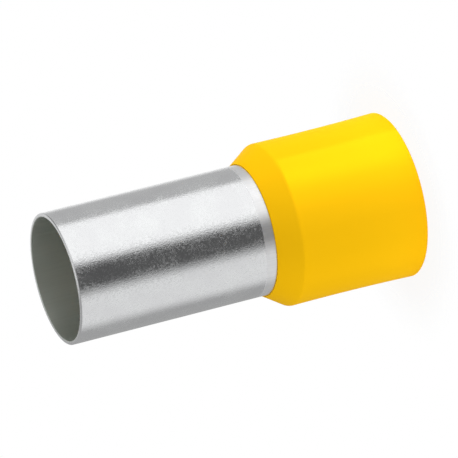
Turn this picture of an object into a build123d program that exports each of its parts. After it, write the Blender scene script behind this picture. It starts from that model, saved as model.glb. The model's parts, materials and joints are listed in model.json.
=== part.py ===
from build123d import *

import math
import os

# Insulated wire ferrule for a stranded conductor of 70 mm2. Sizes are in millimetres.
# The axis is Z. The ferrule stands on the back rim of its collar, and the mouth of the
# metal sleeve is at the top. Profiles are drawn in the XZ plane as (radius, height).

# Metal sleeve: a thin tube, belled out at the end that sits inside the collar
sleeve_diameter = 13.5
sleeve_wall = 0.4
sleeve_length = 21.15  # bare metal in front of the collar
mouth_round = 0.15  # outer edge of the mouth
mouth_chamfer = 0.05  # inner edge of the mouth, deburred
bell_spread = 0.75  # how far the bell's rim stands out from the tube, on the radius
bell_bend_round = 2.0  # outside of the tube, where it turns into the bell
bell_chamfer = 0.12  # inner edge of the bell's rim, which the strands slide over

# Plastic collar: one moulding, from its nose on the sleeve to its back rim
collar_length = 15.85
nose_lip = 0.13  # thickness of the thin edge that lies on the sleeve
cone_length = 2.31
cone_wall = 0.5
shoulder_wall = 0.53
shoulder_round = 0.6
rim_wall = 0.66
rim_chamfer = 0.1
waist = 0.083  # how far the body is drawn in between its shoulder and its rim
insulation_step = 1.15  # the insulation's bore over the sleeve's outside, on the radius
funnel_round = 0.4  # where the funnel meets the insulation's bore
lead_in = 0.26  # chamfer where the wire enters
grip_clearance = 0.0  # the collar is pressed on, so its grip and funnel lie on the metal

# Radii and heights that follow from the sizes above
sleeve_radius = sleeve_diameter / 2
insulation_radius = sleeve_radius + insulation_step
nose_radius = sleeve_radius + nose_lip
shoulder_radius = insulation_radius + shoulder_wall
rim_radius = insulation_radius + rim_wall
waist_radius = (shoulder_radius + rim_radius) / 2 - waist
mouth_height = collar_length + sleeve_length
shoulder_height = collar_length - cone_length

# The funnel inside runs parallel to the cone outside, one cone wall further in. The bell
# seats in the funnel, so both turn off the tube's line at the same corner and angle.
cone_angle = math.atan2(shoulder_radius - nose_radius, cone_length)
corner_height = (
    collar_length + nose_lip / math.tan(cone_angle) - cone_wall / math.sin(cone_angle)
)
bell_height = corner_height - bell_spread / math.tan(cone_angle)
funnel_height = corner_height - insulation_step / math.tan(cone_angle)

# Metal sleeve: the tube's outside line, thickened inwards by its wall and turned round
with BuildPart() as metal_sleeve:
    with BuildSketch(Plane.XZ) as sleeve_section:
        with BuildLine():
            FilletPolyline(
                (sleeve_radius, mouth_height),
                (sleeve_radius, corner_height),
                (sleeve_radius + bell_spread, bell_height),
                radius=bell_bend_round,
            )
            offset(amount=sleeve_wall, side=Side.RIGHT)
        make_face()
        bell_inner_corner = sleeve_section.vertices().sort_by(Axis.Y)[0]
        chamfer(bell_inner_corner, length=bell_chamfer)
        mouth_inner_corner, mouth_outer_corner = (
            sleeve_section.vertices().group_by(Axis.Y)[-1].sort_by(Axis.X)
        )
        chamfer(mouth_inner_corner, length=mouth_chamfer)
        fillet(mouth_outer_corner, radius=mouth_round)
    revolve(axis=Axis.Z)

metal_sleeve.part.label = "metal_sleeve"

# Plastic collar: the outside turned solid, then the wire's way through it cut out
with BuildPart() as plastic_collar:
    with BuildSketch(Plane.XZ) as collar_outline:
        with BuildLine():
            body_line = ThreePointArc(
                (rim_radius, 0),
                (waist_radius, shoulder_height / 2),
                (shoulder_radius, shoulder_height),
            )
            Polyline(
                body_line @ 1,
                (nose_radius, collar_length),
                (0, collar_length),
                (0, 0),
                body_line @ 0,
            )
        make_face()
        shoulder_corner = collar_outline.vertices().sort_by_distance(body_line @ 1)[0]
        fillet(shoulder_corner, radius=shoulder_round)
        rim_corner = collar_outline.vertices().sort_by_distance(body_line @ 0)[0]
        chamfer(rim_corner, length=rim_chamfer)
    revolve(axis=Axis.Z)

    with BuildSketch(Plane.XZ) as wire_way:
        with BuildLine():
            grip_radius = sleeve_radius + grip_clearance
            way_line = FilletPolyline(
                (grip_radius, mouth_height),
                (grip_radius, corner_height),
                (grip_radius + insulation_step, funnel_height),
                (grip_radius + insulation_step, 0),
                radius=(bell_bend_round, funnel_round),
            )
            Polyline(way_line @ 1, (0, 0), (0, mouth_height), way_line @ 0)
        make_face()
    revolve(axis=Axis.Z, mode=Mode.SUBTRACT)

    entry_edge = plastic_collar.edges().group_by(Axis.Z)[0].sort_by(SortBy.RADIUS)[0]
    chamfer(entry_edge, length=lead_in)

plastic_collar.part.label = "plastic_collar"

os.makedirs("parts", exist_ok=True)
export_step(metal_sleeve.part, "parts/metal_sleeve.step")
export_step(plastic_collar.part, "parts/plastic_collar.step")
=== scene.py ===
import json
import math

import bmesh
import bpy
from mathutils import Matrix, Vector

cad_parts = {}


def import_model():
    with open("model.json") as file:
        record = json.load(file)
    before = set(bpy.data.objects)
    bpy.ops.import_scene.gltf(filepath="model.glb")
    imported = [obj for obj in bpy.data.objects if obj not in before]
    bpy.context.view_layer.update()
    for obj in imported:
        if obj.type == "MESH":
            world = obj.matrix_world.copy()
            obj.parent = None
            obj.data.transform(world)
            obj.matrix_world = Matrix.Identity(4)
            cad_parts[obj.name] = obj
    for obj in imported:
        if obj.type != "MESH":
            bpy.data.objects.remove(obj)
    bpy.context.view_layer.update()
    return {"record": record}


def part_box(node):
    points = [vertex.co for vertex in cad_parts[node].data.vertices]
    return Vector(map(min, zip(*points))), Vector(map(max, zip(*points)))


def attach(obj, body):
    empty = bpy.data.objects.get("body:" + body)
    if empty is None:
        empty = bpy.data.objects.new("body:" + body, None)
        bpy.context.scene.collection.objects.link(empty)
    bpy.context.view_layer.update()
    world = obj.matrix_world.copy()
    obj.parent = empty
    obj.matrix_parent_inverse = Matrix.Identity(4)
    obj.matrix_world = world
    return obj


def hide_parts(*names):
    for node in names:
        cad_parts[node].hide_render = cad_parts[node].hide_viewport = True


# Looks of the insulated wire ferrule. Everything is in metres, in the frame of the packed
# model: the axis is Z, the collar's back rim stands on z = 0 and the sleeve's mouth is on top.

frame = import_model()

MM = 0.001
mount_sizes = {mount["name"]: mount["dims"] for mount in frame["record"]["mounts"]}

# Sleeve, from the frame where the frame has it
sleeve_radius = mount_sizes["terminal_end"]["r_mm"] * MM
sleeve_bore = mount_sizes["conductor_bore"]["r_mm"] * MM
sleeve_wall = sleeve_radius - sleeve_bore
bell_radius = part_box("metal_sleeve")[1].x
mouth_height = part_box("metal_sleeve")[1].z
bell_bend_round = 2.0 * MM
bell_chamfer = 0.12 * MM
mouth_round = 0.15 * MM
mouth_chamfer = 0.05 * MM

# Collar, from the frame where the frame has it
collar_bore = mount_sizes["insulation_bore"]["r_mm"] * MM
collar_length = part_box("plastic_collar")[1].z
nose_lip = 0.13 * MM
cone_length = 2.31 * MM
cone_wall = 0.5 * MM
shoulder_wall = 0.53 * MM
shoulder_round = 0.6 * MM
rim_wall = 0.66 * MM
rim_chamfer = 0.1 * MM
waist = 0.083 * MM  # how far the body is drawn in between its shoulder and its rim
funnel_round = 0.4 * MM
lead_in = 0.26 * MM
edge_round = 0.03 * MM  # the smallest round, on edges that the mould or the cut leaves sharp

# The cone, and the funnel and bell inside it, all turn off the tube's line at one angle
shoulder_radius = collar_bore + shoulder_wall
rim_radius = collar_bore + rim_wall
shoulder_height = collar_length - cone_length
nose_radius = sleeve_radius + nose_lip
cone_angle = math.atan2(shoulder_radius - nose_radius, cone_length)
corner_height = collar_length + nose_lip / math.tan(cone_angle) - cone_wall / math.sin(cone_angle)
funnel_height = corner_height - (collar_bore - sleeve_radius) / math.tan(cone_angle)

# Facets
segments_around = 360
steps_in_round = 10
steps_in_body = 24
longest_row = 0.6 * MM

# Soft lamps: name, azimuth in degrees, distance from the axis, height and level. The key and
# fill lamps' places and levels come from a fit to the collar's shading in the photograph, with
# small changes by trial. The other two were set by trial.
lamp_size = 26 * MM
lamps = (
    ("key_lamp", 58, 64 * MM, 1.7 * MM, 0.69),
    ("fill_lamp", -48, 113 * MM, -2.6 * MM, 0.50),
    ("back_lamp", 178, 113 * MM, -2.6 * MM, 0.40),
    ("top_lamp", 128, 80 * MM, 87 * MM, 0.33),
)


def rounded_corner(before, corner, after, radius):
    """Points of the arc of that radius that touches both lines at a corner."""
    to_before = (before - corner).normalized()
    to_after = (after - corner).normalized()
    half_angle = to_before.angle(to_after) / 2
    centre = corner + (to_before + to_after).normalized() * (radius / math.sin(half_angle))
    first = corner + to_before * (radius / math.tan(half_angle)) - centre
    last = corner + to_after * (radius / math.tan(half_angle)) - centre
    turn = first.angle_signed(last)
    return [
        centre + Matrix.Rotation(-turn * step / steps_in_round, 2) @ first
        for step in range(steps_in_round + 1)
    ]


def outline(corners):
    """A closed line through (radius, height, round) corners, each rounded by its own round."""
    points = [Vector(corner[:2]) for corner in corners]
    line = []
    for i, corner in enumerate(corners):
        before, after = points[i - 1], points[(i + 1) % len(points)]
        if corner[2] > 0:
            line += rounded_corner(before, points[i], after, corner[2])
        else:
            line.append(points[i])
    return line


def chamfered(before, corner, after, length):
    """The two corners, as (radius, height, round), that a chamfer of that length leaves."""
    point = Vector(corner)
    cuts = [point + (Vector(end) - point).normalized() * length for end in (before, after)]
    return [(cut.x, cut.y, edge_round) for cut in cuts]


def divided(line):
    """The same closed line with no run longer than longest_row."""
    points = []
    for start, end in zip(line, line[1:] + line[:1]):
        count = max(1, math.ceil((end - start).length / longest_row))
        points += [start.lerp(end, step / count) for step in range(count)]
    return points


def add_mesh(name, mesh_maker, material):
    """A new object in the scene, made of what mesh_maker holds. It frees mesh_maker."""
    mesh = bpy.data.meshes.new(name)
    mesh_maker.to_mesh(mesh)
    mesh_maker.free()
    mesh.materials.append(material)
    made = bpy.data.objects.new(name, mesh)
    bpy.context.scene.collection.objects.link(made)
    return made


def turned(name, line, material):
    """A mesh piece: the closed (radius, height) line turned about the Z axis."""
    line = divided(line)
    mesh_maker = bmesh.new()
    rings = []
    for i in range(segments_around):
        angle = 2 * math.pi * i / segments_around
        across = Vector((math.cos(angle), math.sin(angle), 0))
        rings.append([mesh_maker.verts.new(across * p.x + Vector((0, 0, p.y))) for p in line])
    for ring, next_ring in zip(rings, rings[1:] + rings[:1]):
        for j in range(len(line)):
            k = (j + 1) % len(line)
            mesh_maker.faces.new((ring[j], next_ring[j], next_ring[k], ring[k]))
    bmesh.ops.recalc_face_normals(mesh_maker, faces=mesh_maker.faces)
    piece = add_mesh(name, mesh_maker, material)
    piece.data.shade_smooth()
    return piece


def add_node(tree, kind, inputs=None, **settings):
    """A new shader node. Inputs are values, or the sockets that they are fed from."""
    made = tree.nodes.new("ShaderNode" + kind)
    for name, value in settings.items():
        setattr(made, name, value)
    for socket, value in (inputs or {}).items():
        if isinstance(value, bpy.types.NodeSocket):
            tree.links.new(value, made.inputs[socket])
        else:
            made.inputs[socket].default_value = value
    return made


def math_node(tree, operation, *values):
    return add_node(tree, "Math", dict(enumerate(values)), operation=operation).outputs[0]


def new_material(name):
    """A material with an empty tree, and the tree and its output node."""
    material = bpy.data.materials.new(name)
    material.use_nodes = True
    tree = material.node_tree
    tree.nodes.clear()
    return material, tree, add_node(tree, "OutputMaterial")


def place(tree):
    """Where a shaded point is, in metres: its position, its height and its radius."""
    position = add_node(tree, "TexCoord").outputs["Object"]
    parts = add_node(tree, "SeparateXYZ", {0: position})
    across = add_node(tree, "CombineXYZ", {0: parts.outputs[0], 1: parts.outputs[1]})
    radius = add_node(tree, "VectorMath", {0: across.outputs[0]}, operation="LENGTH")
    return position, parts.outputs[2], radius.outputs["Value"]


def ramp_between(tree, value, low, high):
    """0 below low, 1 above high and smooth between them."""
    return add_node(
        tree,
        "MapRange",
        {"Value": value, "From Min": low, "From Max": high},
        interpolation_type="SMOOTHSTEP",
    ).outputs[0]


def blend(tree, factor, low, high):
    """A number that goes from low to high with the factor. Both are plain numbers."""
    return add_node(
        tree, "MapRange", {"Value": factor, "To Min": low, "To Max": high}
    ).outputs[0]


def mix_numbers(tree, factor, low, high):
    """A number that goes from low to high with the factor. Both are numbers or sockets."""
    return add_node(tree, "Mix", {"Factor": factor, "A": low, "B": high}).outputs[0]


def mix_colours(tree, factor, low, high):
    """A colour that goes from low to high with the factor. Both are colours or sockets."""
    mixer = add_node(tree, "Mix", data_type="RGBA")
    tree.links.new(factor, mixer.inputs[0])
    for socket, colour in zip((mixer.inputs[6], mixer.inputs[7]), (low, high)):
        if isinstance(colour, bpy.types.NodeSocket):
            tree.links.new(colour, socket)
        else:
            socket.default_value = (*colour, 1)
    return mixer.outputs[2]


def tin_material():
    """Tin-plated copper: a fine crystalline grain, wiped smooth in a strip before the collar, with
    painted shade on the inside of the bore.
    """
    grain_size = 0.15 * MM
    grain_relief = 0.010 * MM
    flake_size = 0.15 * MM
    cloud_size = 2.5 * MM
    streak_width = 0.12 * MM
    streak_stretch = 0.03  # the streaks' width over their length
    strip_length = 1.13 * MM
    strip_edge = 0.05 * MM
    strip_metallic = 0.82  # less than 1, for the fine haze that wiping leaves
    inside_depth = sleeve_wall / 8  # over this depth at the bore, the inside gives way
    cloud_contrast = (0.3, 0.7)  # the noise between which the clouds go from 0 to 1
    cloud_spread = (0.7, 1.3)  # what the clouds multiply the flakes' roughness by
    grain_roughnesses = (0.08, 0.31)
    strip_roughnesses = (0.25, 0.36)
    inside_roughnesses = (0.40, 0.60)
    grain_colours = ((0.785, 0.79, 0.80), (0.835, 0.845, 0.85))
    strip_colours = ((0.70, 0.705, 0.72), (0.88, 0.885, 0.89))
    # The inside's colours are darker and greener than the outside's: the tin's own grey with
    # painted shade of the bore in it.
    inside_shaded_colours = ((0.625, 0.655, 0.61), (0.74, 0.77, 0.72))

    material, tree, output = new_material("tinned_copper")
    position, height, radius = place(tree)
    grain = add_node(
        tree, "TexNoise", {"Vector": position, "Scale": 1 / grain_size, "Detail": 1.0}
    ).outputs[0]
    flakes = add_node(tree, "TexVoronoi", {"Vector": position, "Scale": 1 / flake_size})
    flake = add_node(tree, "SeparateColor", {0: flakes.outputs["Color"]}).outputs[0]
    cloud = add_node(
        tree, "TexNoise", {"Vector": position, "Scale": 1 / cloud_size, "Detail": 3.0}
    ).outputs[0]
    stretched = add_node(
        tree, "VectorMath", {0: position, 1: (1, 1, streak_stretch)}, operation="MULTIPLY"
    ).outputs[0]
    streak = add_node(
        tree, "TexNoise", {"Vector": stretched, "Scale": 1 / streak_width, "Detail": 2.0}
    ).outputs[0]

    strip_top = collar_length + strip_length
    above_strip = ramp_between(tree, height, strip_top - strip_edge, strip_top + strip_edge)
    inside_end = sleeve_bore + inside_depth
    outside = ramp_between(tree, radius, inside_end, inside_end + inside_depth)
    grainy = math_node(tree, "MULTIPLY", above_strip, outside)

    mottle = ramp_between(tree, cloud, *cloud_contrast)
    rough_flake = math_node(tree, "MULTIPLY", flake, blend(tree, mottle, *cloud_spread))
    grain_roughness = blend(tree, rough_flake, *grain_roughnesses)
    strip_roughness = blend(tree, streak, *strip_roughnesses)
    outside_roughness = mix_numbers(tree, above_strip, strip_roughness, grain_roughness)
    inside_roughness = blend(tree, streak, *inside_roughnesses)
    roughness = mix_numbers(tree, outside, inside_roughness, outside_roughness)

    grain_colour = mix_colours(tree, mottle, *grain_colours)
    strip_colour = mix_colours(tree, streak, *strip_colours)
    # Painted shade of the bore: the inside gets the darker, greener colours.
    inside_shaded_colour = mix_colours(tree, streak, *inside_shaded_colours)
    outside_colour = mix_colours(tree, above_strip, strip_colour, grain_colour)
    colour = mix_colours(tree, outside, inside_shaded_colour, outside_colour)
    off_strip = mix_numbers(tree, outside, 1.0, above_strip)
    metallic = blend(tree, off_strip, strip_metallic, 1.0)
    bump = add_node(
        tree,
        "Bump",
        {"Height": grain, "Strength": grainy, "Distance": grain_relief},
    ).outputs[0]
    shader = add_node(
        tree,
        "BsdfPrincipled",
        {"Base Color": colour, "Metallic": metallic, "Roughness": roughness, "Normal": bump},
    )
    tree.links.new(shader.outputs[0], output.inputs["Surface"])
    return material


def plastic_material():
    """Yellow moulded plastic with a satin skin."""
    skin_size = 0.25 * MM
    skin_relief = 0.002 * MM
    skin_strength = 0.2
    skin_roughnesses = (0.15, 0.21)
    yellow = (0.96, 0.535, 0.005, 1)
    yellow_gloss = 0.078  # the plastic's gloss, all of it in the plastic's own yellow
    white_gloss = 0.0
    refraction = 1.49

    material, tree, output = new_material("yellow_plastic")
    position = place(tree)[0]
    skin = add_node(
        tree, "TexNoise", {"Vector": position, "Scale": 1 / skin_size, "Detail": 2.0}
    ).outputs[0]
    bump = add_node(
        tree, "Bump", {"Height": skin, "Strength": skin_strength, "Distance": skin_relief}
    ).outputs[0]
    roughness = blend(tree, skin, *skin_roughnesses)
    shader = add_node(
        tree,
        "BsdfPrincipled",
        {
            "Base Color": yellow,
            "Metallic": yellow_gloss,
            "Roughness": roughness,
            "Normal": bump,
            "IOR": refraction,
            "Specular IOR Level": white_gloss,
        },
    )
    tree.links.new(shader.outputs[0], output.inputs["Surface"])
    return material


def metal_sleeve():
    """The tube, belled out at the end that sits inside the collar, with its rims deburred."""
    bend_corner = Vector((sleeve_radius, corner_height))
    bell_line = Vector((math.sin(cone_angle), -math.cos(cone_angle)))
    inwards = Vector((-math.cos(cone_angle), -math.sin(cone_angle)))
    bell_spread = bell_radius - sleeve_radius
    bell_outer = bend_corner + bell_line * (bell_spread / math.sin(cone_angle))
    bell_inner = bell_outer + inwards * sleeve_wall
    inner_corner_height = corner_height - sleeve_wall * math.tan(cone_angle / 2)
    bell_edge = chamfered(
        bell_outer, bell_inner, (sleeve_bore, inner_corner_height), bell_chamfer
    )
    mouth_edge = chamfered(
        (sleeve_bore, 0), (sleeve_bore, mouth_height), (sleeve_radius, mouth_height), mouth_chamfer
    )
    corners = [
        (sleeve_radius, mouth_height, mouth_round),
        (sleeve_radius, corner_height, bell_bend_round),
        (bell_outer.x, bell_outer.y, edge_round),
        *bell_edge,
        (sleeve_bore, inner_corner_height, bell_bend_round + sleeve_wall),
        *mouth_edge,
    ]
    piece = turned("sleeve_of_tinned_copper", outline(corners), tin_material())
    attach(piece, "root")
    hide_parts("metal_sleeve")


def waisted_body():
    """Points of the body's outside between its shoulder and its rim, on one shallow curve."""
    shoulder = Vector((shoulder_radius, shoulder_height))
    rim = Vector((rim_radius, 0))
    chord = rim - shoulder
    points = []
    for step in range(1, steps_in_body):
        share = step / steps_in_body
        points.append(shoulder + chord * share - Vector((4 * waist * share * (1 - share), 0)))
    return [(point.x, point.y, 0) for point in points]


def plastic_collar():
    """The moulding, with its waisted body outside and its grip, funnel and bore inside."""
    body = waisted_body()
    rim_edge = chamfered(body[-1][:2], (rim_radius, 0), (collar_bore, 0), rim_chamfer)
    corners = [
        (nose_radius, collar_length, edge_round),
        (shoulder_radius, shoulder_height, shoulder_round),
        *body,
        *rim_edge,
        *chamfered((rim_radius, 0), (collar_bore, 0), (collar_bore, funnel_height), lead_in),
        (collar_bore, funnel_height, funnel_round),
        (sleeve_radius, corner_height, bell_bend_round),
        (sleeve_radius, collar_length, 0),
    ]
    piece = turned("collar_of_yellow_plastic", outline(corners), plastic_material())
    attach(piece, "root")
    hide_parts("plastic_collar")
    return piece


def azimuth_of(tree, parts):
    """The azimuth of a position's parts, in radians, from the camera's side towards +X."""
    towards_camera = math_node(tree, "MULTIPLY", parts.outputs[1], -1.0)
    return math_node(tree, "ARCTAN2", parts.outputs[0], towards_camera)


def level_by_azimuth(tree, azimuth, panels):
    """The level of light at an azimuth. A panel is (start, width of its soft edge, level)."""
    levels = [(-180, panels[0][2])]
    for panel_before, (start, soft_edge, level) in zip(panels, panels[1:]):
        levels.append((start - soft_edge / 2, panel_before[2]))
        levels.append((start + soft_edge / 2, level))
    levels.append((180, panels[-1][2]))
    along = add_node(
        tree,
        "MapRange",
        {"Value": azimuth, "From Min": -math.pi, "From Max": math.pi},
    ).outputs[0]
    ramp = add_node(tree, "ValToRGB", {0: along})
    stops = ramp.color_ramp.elements
    while len(stops) < len(levels):
        stops.new(0.5)
    for stop, (degrees, level) in zip(stops, levels):
        stop.position = (degrees + 180) / 360
        stop.color = (level, level, level, 1)
    return ramp.outputs[0]


def light_tent():
    """A ring of light round the object, with brighter and darker panels in its two tiers."""
    tent_radius = 0.28
    tent_bottom, tent_top = -0.33, 0.90
    lit_bottom, lit_top = -0.19, 0.02  # the part that also lights matt surfaces
    melt_height = 0.05  # over this height the ring's edges melt into the background
    lit_share = 1.3  # how much brighter that part is for matt surfaces
    upper_from, upper_to = 0.02, 0.08  # where the lower tier gives way to the upper one
    segments = 96
    # Plain white panels of each tier: where one starts, the width of its soft edge there, both
    # in degrees from the camera's side towards +X, and its level. Left and right are as seen
    # from that side. The panels follow the bands of light and dark on the photograph's metal.
    # Their levels are rounded from levels that had been fitted to those bands.
    lower_panels = (
        (-180, 0, 0.4),  # behind, on the left
        (-105, 20, 0.8),  # soft panel on the left
        (-35, 20, 0.1),  # dark panel in front
        (15, 15, 1.1),  # wide bright panel on the right
        (95, 2, 0.5),  # behind it
        (155, 15, 1.0),  # bright panel behind
    )
    upper_panels = (
        (-180, 0, 0.4),  # on the left and in front
        (25, 50, 0.8),  # on the right
        (95, 20, 0.2),  # dark gap
        (140, 25, 0.7),  # behind
    )

    material, tree, output = new_material("light_tent")
    parts = add_node(tree, "SeparateXYZ", {0: add_node(tree, "TexCoord").outputs["Object"]})
    height = parts.outputs[2]
    azimuth = azimuth_of(tree, parts)
    lower = level_by_azimuth(tree, azimuth, lower_panels)
    upper = level_by_azimuth(tree, azimuth, upper_panels)
    in_upper = ramp_between(tree, height, upper_from, upper_to)
    colour = mix_colours(tree, in_upper, lower, upper)
    glossy = add_node(tree, "LightPath").outputs["Is Glossy Ray"]
    strength = blend(tree, glossy, lit_share, 1.0)
    emission = add_node(tree, "Emission", {"Color": colour, "Strength": strength})
    clear = add_node(tree, "BsdfTransparent")
    solid_parts = []
    for bottom, top in ((lit_bottom, lit_top), (tent_bottom, tent_top)):
        up_from_bottom = ramp_between(tree, height, bottom, bottom + melt_height)
        near_top = ramp_between(tree, height, top - melt_height, top)
        solid_parts.append(math_node(tree, "SUBTRACT", up_from_bottom, near_top))
    solid = mix_numbers(tree, glossy, *solid_parts)
    mixed = add_node(tree, "MixShader", {0: solid, 1: clear.outputs[0], 2: emission.outputs[0]})
    tree.links.new(mixed.outputs[0], output.inputs["Surface"])

    mesh_maker = bmesh.new()
    bmesh.ops.create_cone(
        mesh_maker,
        cap_ends=False,
        segments=segments,
        radius1=tent_radius,
        radius2=tent_radius,
        depth=tent_top - tent_bottom,
        matrix=Matrix.Translation((0, 0, (tent_top + tent_bottom) / 2)),
    )
    tent = add_mesh("light_tent", mesh_maker, material)
    tent.visible_camera = False


def highlight_card(lit_piece):
    """A bright card close to the object, which shows in the gloss of one piece alone."""
    card_radius = 48 * MM
    card_bottom, card_top = -24 * MM, -0.2 * MM
    # Azimuths in degrees, from the camera's side towards +X. They and the level come from a fit
    # to the collar's highlight in the photograph, with small changes by trial.
    card_from, full_from, card_to = 26, 51, 87.4
    card_level = 2.5
    steps = 48

    material, tree, output = new_material("highlight_card")
    parts = add_node(tree, "SeparateXYZ", {0: add_node(tree, "TexCoord").outputs["Object"]})
    azimuth = azimuth_of(tree, parts)
    full = ramp_between(tree, azimuth, math.radians(card_from), math.radians(full_from))
    level = math_node(tree, "MULTIPLY", full, card_level)
    glow = add_node(tree, "Emission", {"Color": (1, 1, 1, 1), "Strength": level})
    clear = add_node(tree, "BsdfTransparent")
    added = add_node(tree, "AddShader", {0: clear.outputs[0], 1: glow.outputs[0]})
    tree.links.new(added.outputs[0], output.inputs["Surface"])

    mesh_maker = bmesh.new()
    columns = []
    for i in range(steps + 1):
        turn = math.radians(card_from + (card_to - card_from) * i / steps)
        across = Vector((math.sin(turn), -math.cos(turn), 0)) * card_radius
        columns.append(
            [mesh_maker.verts.new(across + Vector((0, 0, z))) for z in (card_bottom, card_top)]
        )
    for column, next_column in zip(columns, columns[1:]):
        mesh_maker.faces.new((column[0], next_column[0], next_column[1], column[1]))
    card = add_mesh("highlight_card", mesh_maker, material)
    card.visible_camera = False
    card.visible_diffuse = False
    card.visible_shadow = False
    lit_by_card = bpy.data.collections.new("lit_by_card")
    lit_by_card.objects.link(lit_piece)
    card.light_linking.receiver_collection = lit_by_card


def seen_as_background(tree):
    """1 for rays from the camera or from a mirroring or clear surface, else 0."""
    path = add_node(tree, "LightPath").outputs
    camera_or_glossy = math_node(tree, "MAXIMUM", path["Is Camera Ray"], path["Is Glossy Ray"])
    return math_node(tree, "MAXIMUM", camera_or_glossy, path["Is Transmission Ray"])


def floor():
    """A small round pale table, which fades out towards its edge and lets light up through it."""
    floor_radius = 16 * MM
    floor_height = -0.02 * MM  # a hair below the rim, so that the two faces don't coincide
    fade_from = 9.5 * MM
    pale = (0.9, 0.9, 0.9, 1)
    white_share = 0.9  # how much of what the camera sees is plain white, and takes no shadow
    segments = 128

    material, tree, output = new_material("pale_floor")
    radius = place(tree)[2]
    faded = ramp_between(tree, radius, fade_from, floor_radius)
    matte = add_node(tree, "BsdfDiffuse", {"Color": pale})
    white = add_node(tree, "Emission", {"Color": (1, 1, 1, 1), "Strength": 1.0})
    clear = add_node(tree, "BsdfTransparent")
    lit = math_node(tree, "MULTIPLY", seen_as_background(tree), white_share)
    table = add_node(tree, "MixShader", {0: lit, 1: matte.outputs[0], 2: white.outputs[0]})
    mixed = add_node(tree, "MixShader", {0: faded, 1: table.outputs[0], 2: clear.outputs[0]})
    tree.links.new(mixed.outputs[0], output.inputs["Surface"])

    mesh_maker = bmesh.new()
    bmesh.ops.create_circle(
        mesh_maker,
        cap_ends=True,
        segments=segments,
        radius=floor_radius,
        matrix=Matrix.Translation((0, 0, floor_height)),
    )
    disc = add_mesh("floor", mesh_maker, material)
    disc.visible_glossy = False
    disc.visible_shadow = False


def world():
    """A white background, and a plain level of light from it that is stronger overhead."""
    side_level = 0.15
    overhead_level = 1.2
    overhead_from, overhead_to = 35, 65  # elevations in degrees

    made = bpy.data.worlds.new("studio")
    bpy.context.scene.world = made
    made.use_nodes = True
    tree = made.node_tree
    tree.nodes.clear()
    direction = add_node(tree, "TexCoord").outputs["Generated"]
    upwards = add_node(tree, "SeparateXYZ", {0: direction}).outputs[2]
    low, high = (math.sin(math.radians(angle)) for angle in (overhead_from, overhead_to))
    overhead = ramp_between(tree, upwards, low, high)
    light_level = blend(tree, overhead, side_level, overhead_level)
    strength = mix_numbers(tree, seen_as_background(tree), light_level, 1.0)
    background = add_node(tree, "Background", {"Color": (1, 1, 1, 1), "Strength": strength})
    output = add_node(tree, "OutputWorld")
    tree.links.new(background.outputs[0], output.inputs["Surface"])


def soft_lamp(name, azimuth, distance, height, level):
    """A round soft lamp for the matt surfaces. Azimuth is in degrees, from the camera's side."""
    lamp = bpy.data.lights.new(name, "AREA")
    lamp.shape = "DISK"
    lamp.size = lamp_size
    lamp.energy = level * (math.pi * distance) ** 2
    holder = bpy.data.objects.new(name, lamp)
    turn = math.radians(azimuth)
    holder.location = (distance * math.sin(turn), -distance * math.cos(turn), height)
    aim = Vector((0, 0, shoulder_height / 2)) - holder.location
    holder.rotation_euler = aim.to_track_quat("-Z", "Y").to_euler()
    holder.visible_glossy = False
    holder.visible_camera = False
    bpy.context.scene.collection.objects.link(holder)


def camera():
    """A long lens, at the photograph's angle to the axis and turned as the photograph is."""
    image_size = 458
    sensor = 36
    focal_length = 5000  # in pixels of the photograph's frame
    mouth_pixel = (55.27, 279.30)  # centre of the sleeve's mouth
    distance = 0.4968  # from the camera to the mouth's centre, along the view
    elevation = math.radians(19.474)
    turn = math.radians(14.12)  # the axis over the horizontal, in the picture
    clip_end = 3  # in metres

    forward = Vector((0, math.cos(elevation), -math.sin(elevation)))
    side = Vector((1, 0, 0))
    upright = side.cross(forward)
    right = -math.sin(turn) * side - math.cos(turn) * upright
    up = math.cos(turn) * side - math.sin(turn) * upright
    mouth_right, mouth_down = (
        (pixel - image_size / 2) * distance / focal_length for pixel in mouth_pixel
    )
    mouth = Vector((0, 0, mouth_height))

    lens = bpy.data.cameras.new("camera")
    lens.sensor_width = sensor
    lens.lens = sensor * focal_length / image_size
    lens.clip_end = clip_end
    holder = bpy.data.objects.new("camera", lens)
    turned_axes = Matrix((right, up, -forward)).transposed()
    holder.matrix_world = turned_axes.to_4x4()
    holder.location = mouth - distance * forward - mouth_right * right + mouth_down * up
    bpy.context.scene.collection.objects.link(holder)
    bpy.context.scene.camera = holder


metal_sleeve()
collar = plastic_collar()
light_tent()
highlight_card(collar)
floor()
world()
for name, azimuth, distance, height, level in lamps:
    soft_lamp(name, azimuth, distance, height, level)
camera()
bpy.context.scene.view_settings.view_transform = "Standard"
